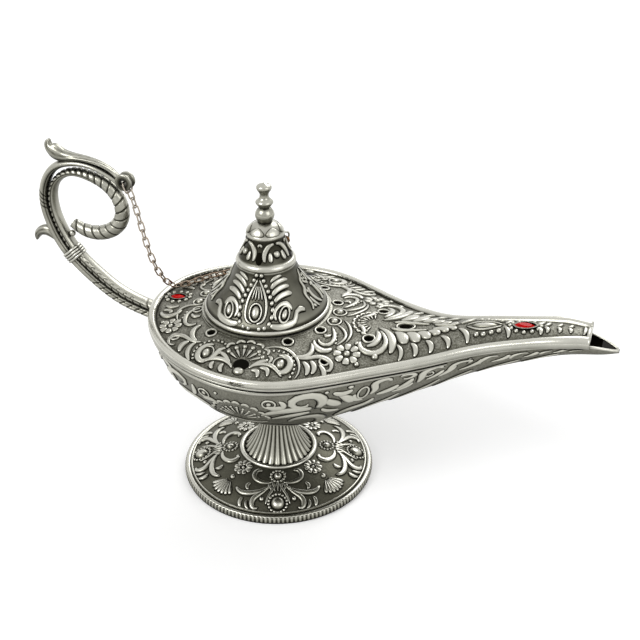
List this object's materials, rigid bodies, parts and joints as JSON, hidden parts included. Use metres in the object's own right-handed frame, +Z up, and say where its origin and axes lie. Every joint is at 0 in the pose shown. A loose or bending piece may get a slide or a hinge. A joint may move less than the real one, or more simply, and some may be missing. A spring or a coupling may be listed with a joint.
{
  "type": "genie oil lamp",
  "caption": "Footed oil lamp with a long rising spout, pierced cover, scrolled loop handle, and a lift-off bell-shaped lid with a turned finial, tied to the handle by a chain.",
  "frame": {"origin": "centre of the foot's round rim, on the surface the lamp stands on", "axes": "+X towards the spout's tip, +Z up, the lamp is mirror-alike across Y except for its chain"},
  "size_m": [0.2096, 0.0838, 0.1203],
  "materials": {
    "antique_silver": "zinc casting plated in antique silver: satin high points over a dark patina",
    "chain_nickel": "nickel-plated wire, part tarnished to bronze",
    "fixings": "zinc-plated steel",
    "red_glass": "polished cut red glass"
  },
  "bodies": {
    "lamp": {"foot_disc": "antique_silver", "foot_stem": "antique_silver", "foot_washer": "fixings", "foot_bolt": "fixings", "foot_nut": "fixings", "bowl": "antique_silver", "deck": "antique_silver", "rear_gem": "red_glass", "front_gem": "red_glass", "handle_outer_rod": "antique_silver", "handle_rope_rod": "antique_silver", "handle_screws": "fixings", "handle_binding": "antique_silver", "handle_top_leaf": "antique_silver", "handle_rear_leaf": "antique_silver", "handle_ball": "antique_silver", "handle_chain_eye": "antique_silver", "handle_jump_ring": "chain_nickel", "lid_chain": "chain_nickel"},
    "lid": {"lid_bell": "antique_silver", "lid_spigot": "antique_silver", "lid_finial": "antique_silver", "lid_nut": "fixings", "lid_chain_eye": "chain_nickel"}
  },
  "joints": [
    {"name": "lid_lift", "type": "slide", "parent": "lamp", "child": "lid", "axis": [0, 0, 1], "range_m": [0, 0.06], "deforming": ["lid_chain"]}
  ]
}
